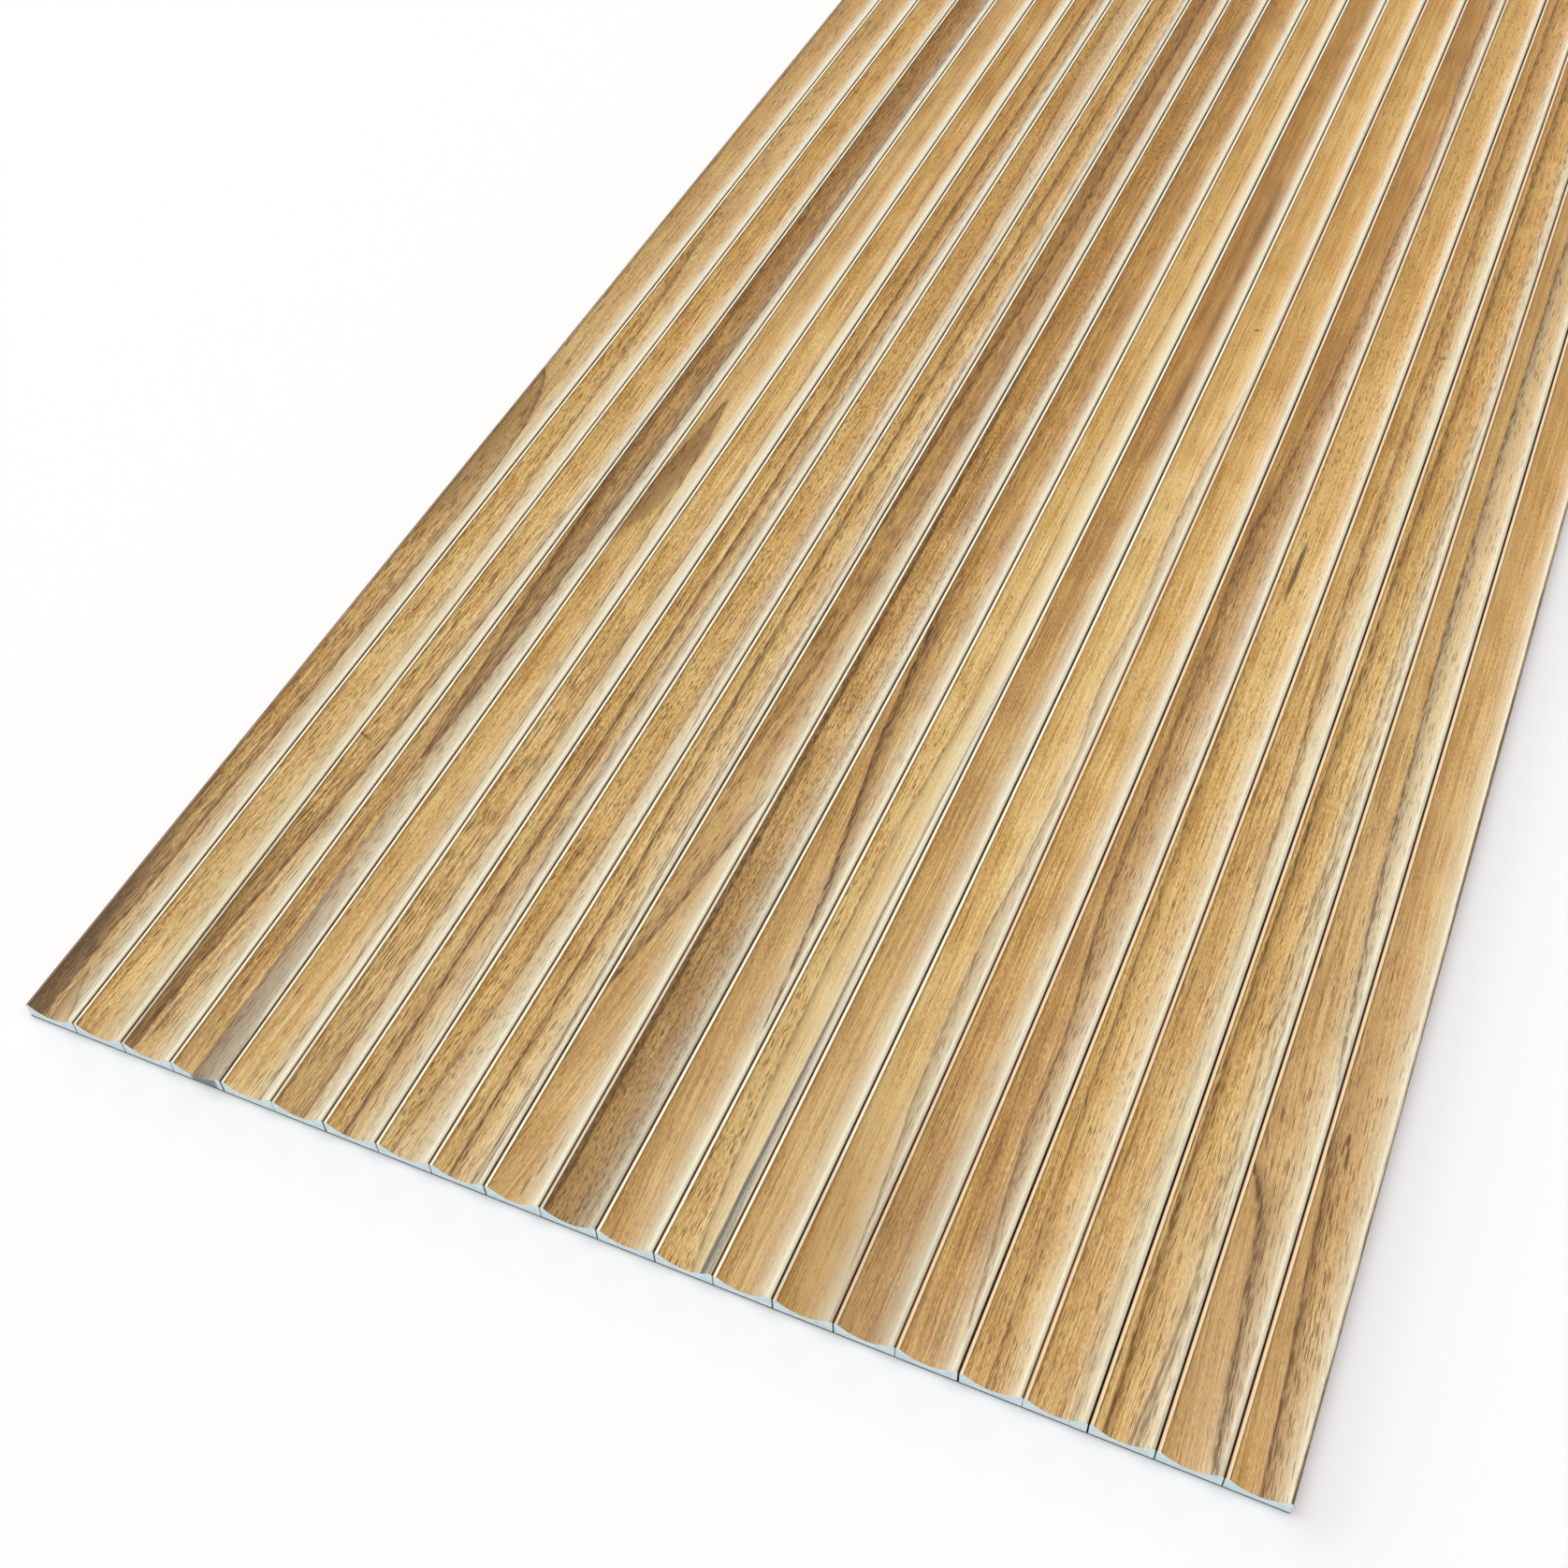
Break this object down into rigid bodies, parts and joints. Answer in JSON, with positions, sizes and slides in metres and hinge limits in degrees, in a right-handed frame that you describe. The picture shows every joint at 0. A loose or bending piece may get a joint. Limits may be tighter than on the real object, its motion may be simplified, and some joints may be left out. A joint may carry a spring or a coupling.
{
  "type": "flexible slat wall panel",
  "caption": "Flexible wall panel of solid wood slats with hollow cove faces and eased rims, laid edge to edge and glued to one sheet of backing cloth so that it bends across the slats.",
  "frame": {"origin": "centre of the back of the backing cloth", "axes": "+X across the slats, +Y along the slats, +Z out of the slatted face"},
  "size_m": [0.6, 2.4, 0.0095],
  "materials": {
    "wood": "clear satin oil over golden brown hardwood",
    "backing_cloth": "dark plain-woven cloth"
  },
  "bodies": {
    "root": {"backing_cloth": "backing_cloth", "slat_01": "wood", "slat_02": "wood", "slat_03": "wood", "slat_04": "wood", "slat_05": "wood", "slat_06": "wood", "slat_07": "wood", "slat_08": "wood", "slat_09": "wood", "slat_10": "wood", "slat_11": "wood", "slat_12": "wood", "slat_13": "wood", "slat_14": "wood", "slat_15": "wood", "slat_16": "wood", "slat_17": "wood", "slat_18": "wood", "slat_19": "wood", "slat_20": "wood", "slat_21": "wood", "slat_22": "wood"}
  },
  "joints": []
}
